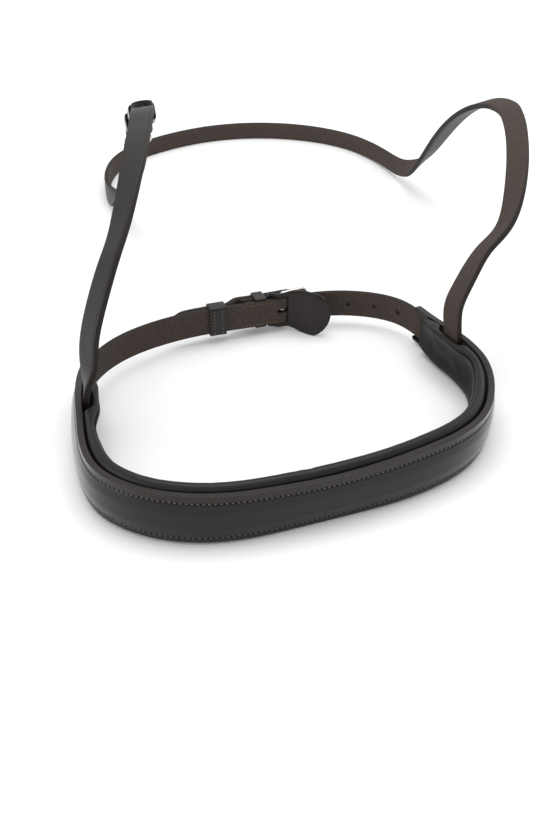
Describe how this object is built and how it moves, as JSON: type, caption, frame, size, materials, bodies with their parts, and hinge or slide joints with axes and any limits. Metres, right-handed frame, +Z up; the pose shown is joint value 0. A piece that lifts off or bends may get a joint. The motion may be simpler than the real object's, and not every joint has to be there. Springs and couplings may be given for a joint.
{
  "type": "cavesson noseband",
  "caption": "Raised, padded leather cavesson noseband with chin buckle, buckle guard and keepers, and a buckled head strap that arches over to the table behind.",
  "frame": {"origin": "middle of the nosepiece's padded lining, on its flat lower edge", "axes": "+Z up from the table to the poll side, +Y from the nose to the chin buckle, +X to the cheek side on the right of the picture"},
  "size_m": [0.2893, 0.4826, 0.1273],
  "materials": {
    "grain_leather": "soft sheen, dark havana grain side",
    "strap_leather": "dark grain side, matt brown flesh side",
    "core_leather": "matt flesh",
    "lining_leather": "soft black with fine grain",
    "foam_core": "matt closed-cell foam",
    "buckle_steel": "polished stainless wire"
  },
  "bodies": {
    "noseband": {"front_band": "grain_leather", "raised_filler": "core_leather", "backing_band": "core_leather", "lining_cover": "lining_leather", "lining_foam": "foam_core", "buckle_strap": "strap_leather", "billet_strap": "strap_leather", "buckle_guard": "lining_leather", "chin_fixed_keeper": "grain_leather"},
    "head_strap": {"cheek_strap": "strap_leather", "poll_strap": "strap_leather", "head_fixed_keeper": "grain_leather"},
    "chin_frame": {"chin_buckle_frame": "buckle_steel"},
    "chin_tongue": {"chin_buckle_tongue": "buckle_steel"},
    "chin_runner": {"chin_runner_keeper": "grain_leather"},
    "head_frame": {"head_buckle_frame": "buckle_steel"},
    "head_tongue": {"head_buckle_tongue": "buckle_steel"},
    "head_runner": {"head_runner_keeper": "grain_leather"}
  },
  "joints": [
    {"name": "head_strap_lift", "type": "hinge", "parent": "noseband", "child": "head_strap", "pos_m": [0, 0.08808, 0.02192], "axis": [1, 0, 0], "range_deg": [0, 20]},
    {"name": "chin_frame_tilt", "type": "hinge", "parent": "noseband", "child": "chin_frame", "pos_m": [0.02911, 0.16496, 0.0137], "axis": [0, 0, 1], "range_deg": [0, 4]},
    {"name": "chin_tongue_lift", "type": "hinge", "parent": "chin_frame", "child": "chin_tongue", "pos_m": [0.02911, 0.16496, 0.0137], "axis": [0, 0, 1], "range_deg": [0, 4]},
    {"name": "chin_runner_slide", "type": "slide", "parent": "noseband", "child": "chin_runner", "axis": [-0.9978, -0.0659, 0], "range_m": [0, 0.008]},
    {"name": "head_frame_tilt", "type": "hinge", "parent": "head_strap", "child": "head_frame", "pos_m": [-0.03105, 0.27406, 0.08203], "axis": [0.9986, 0.0152, 0.0503], "range_deg": [0, 4]},
    {"name": "head_tongue_lift", "type": "hinge", "parent": "head_frame", "child": "head_tongue", "pos_m": [-0.03105, 0.27406, 0.08203], "axis": [0.9986, 0.0152, 0.0503], "range_deg": [0, 4]},
    {"name": "head_runner_slide", "type": "slide", "parent": "head_strap", "child": "head_runner", "axis": [-0.0751, -0.8451, 0.5294], "range_m": [0, 0.008]}
  ]
}
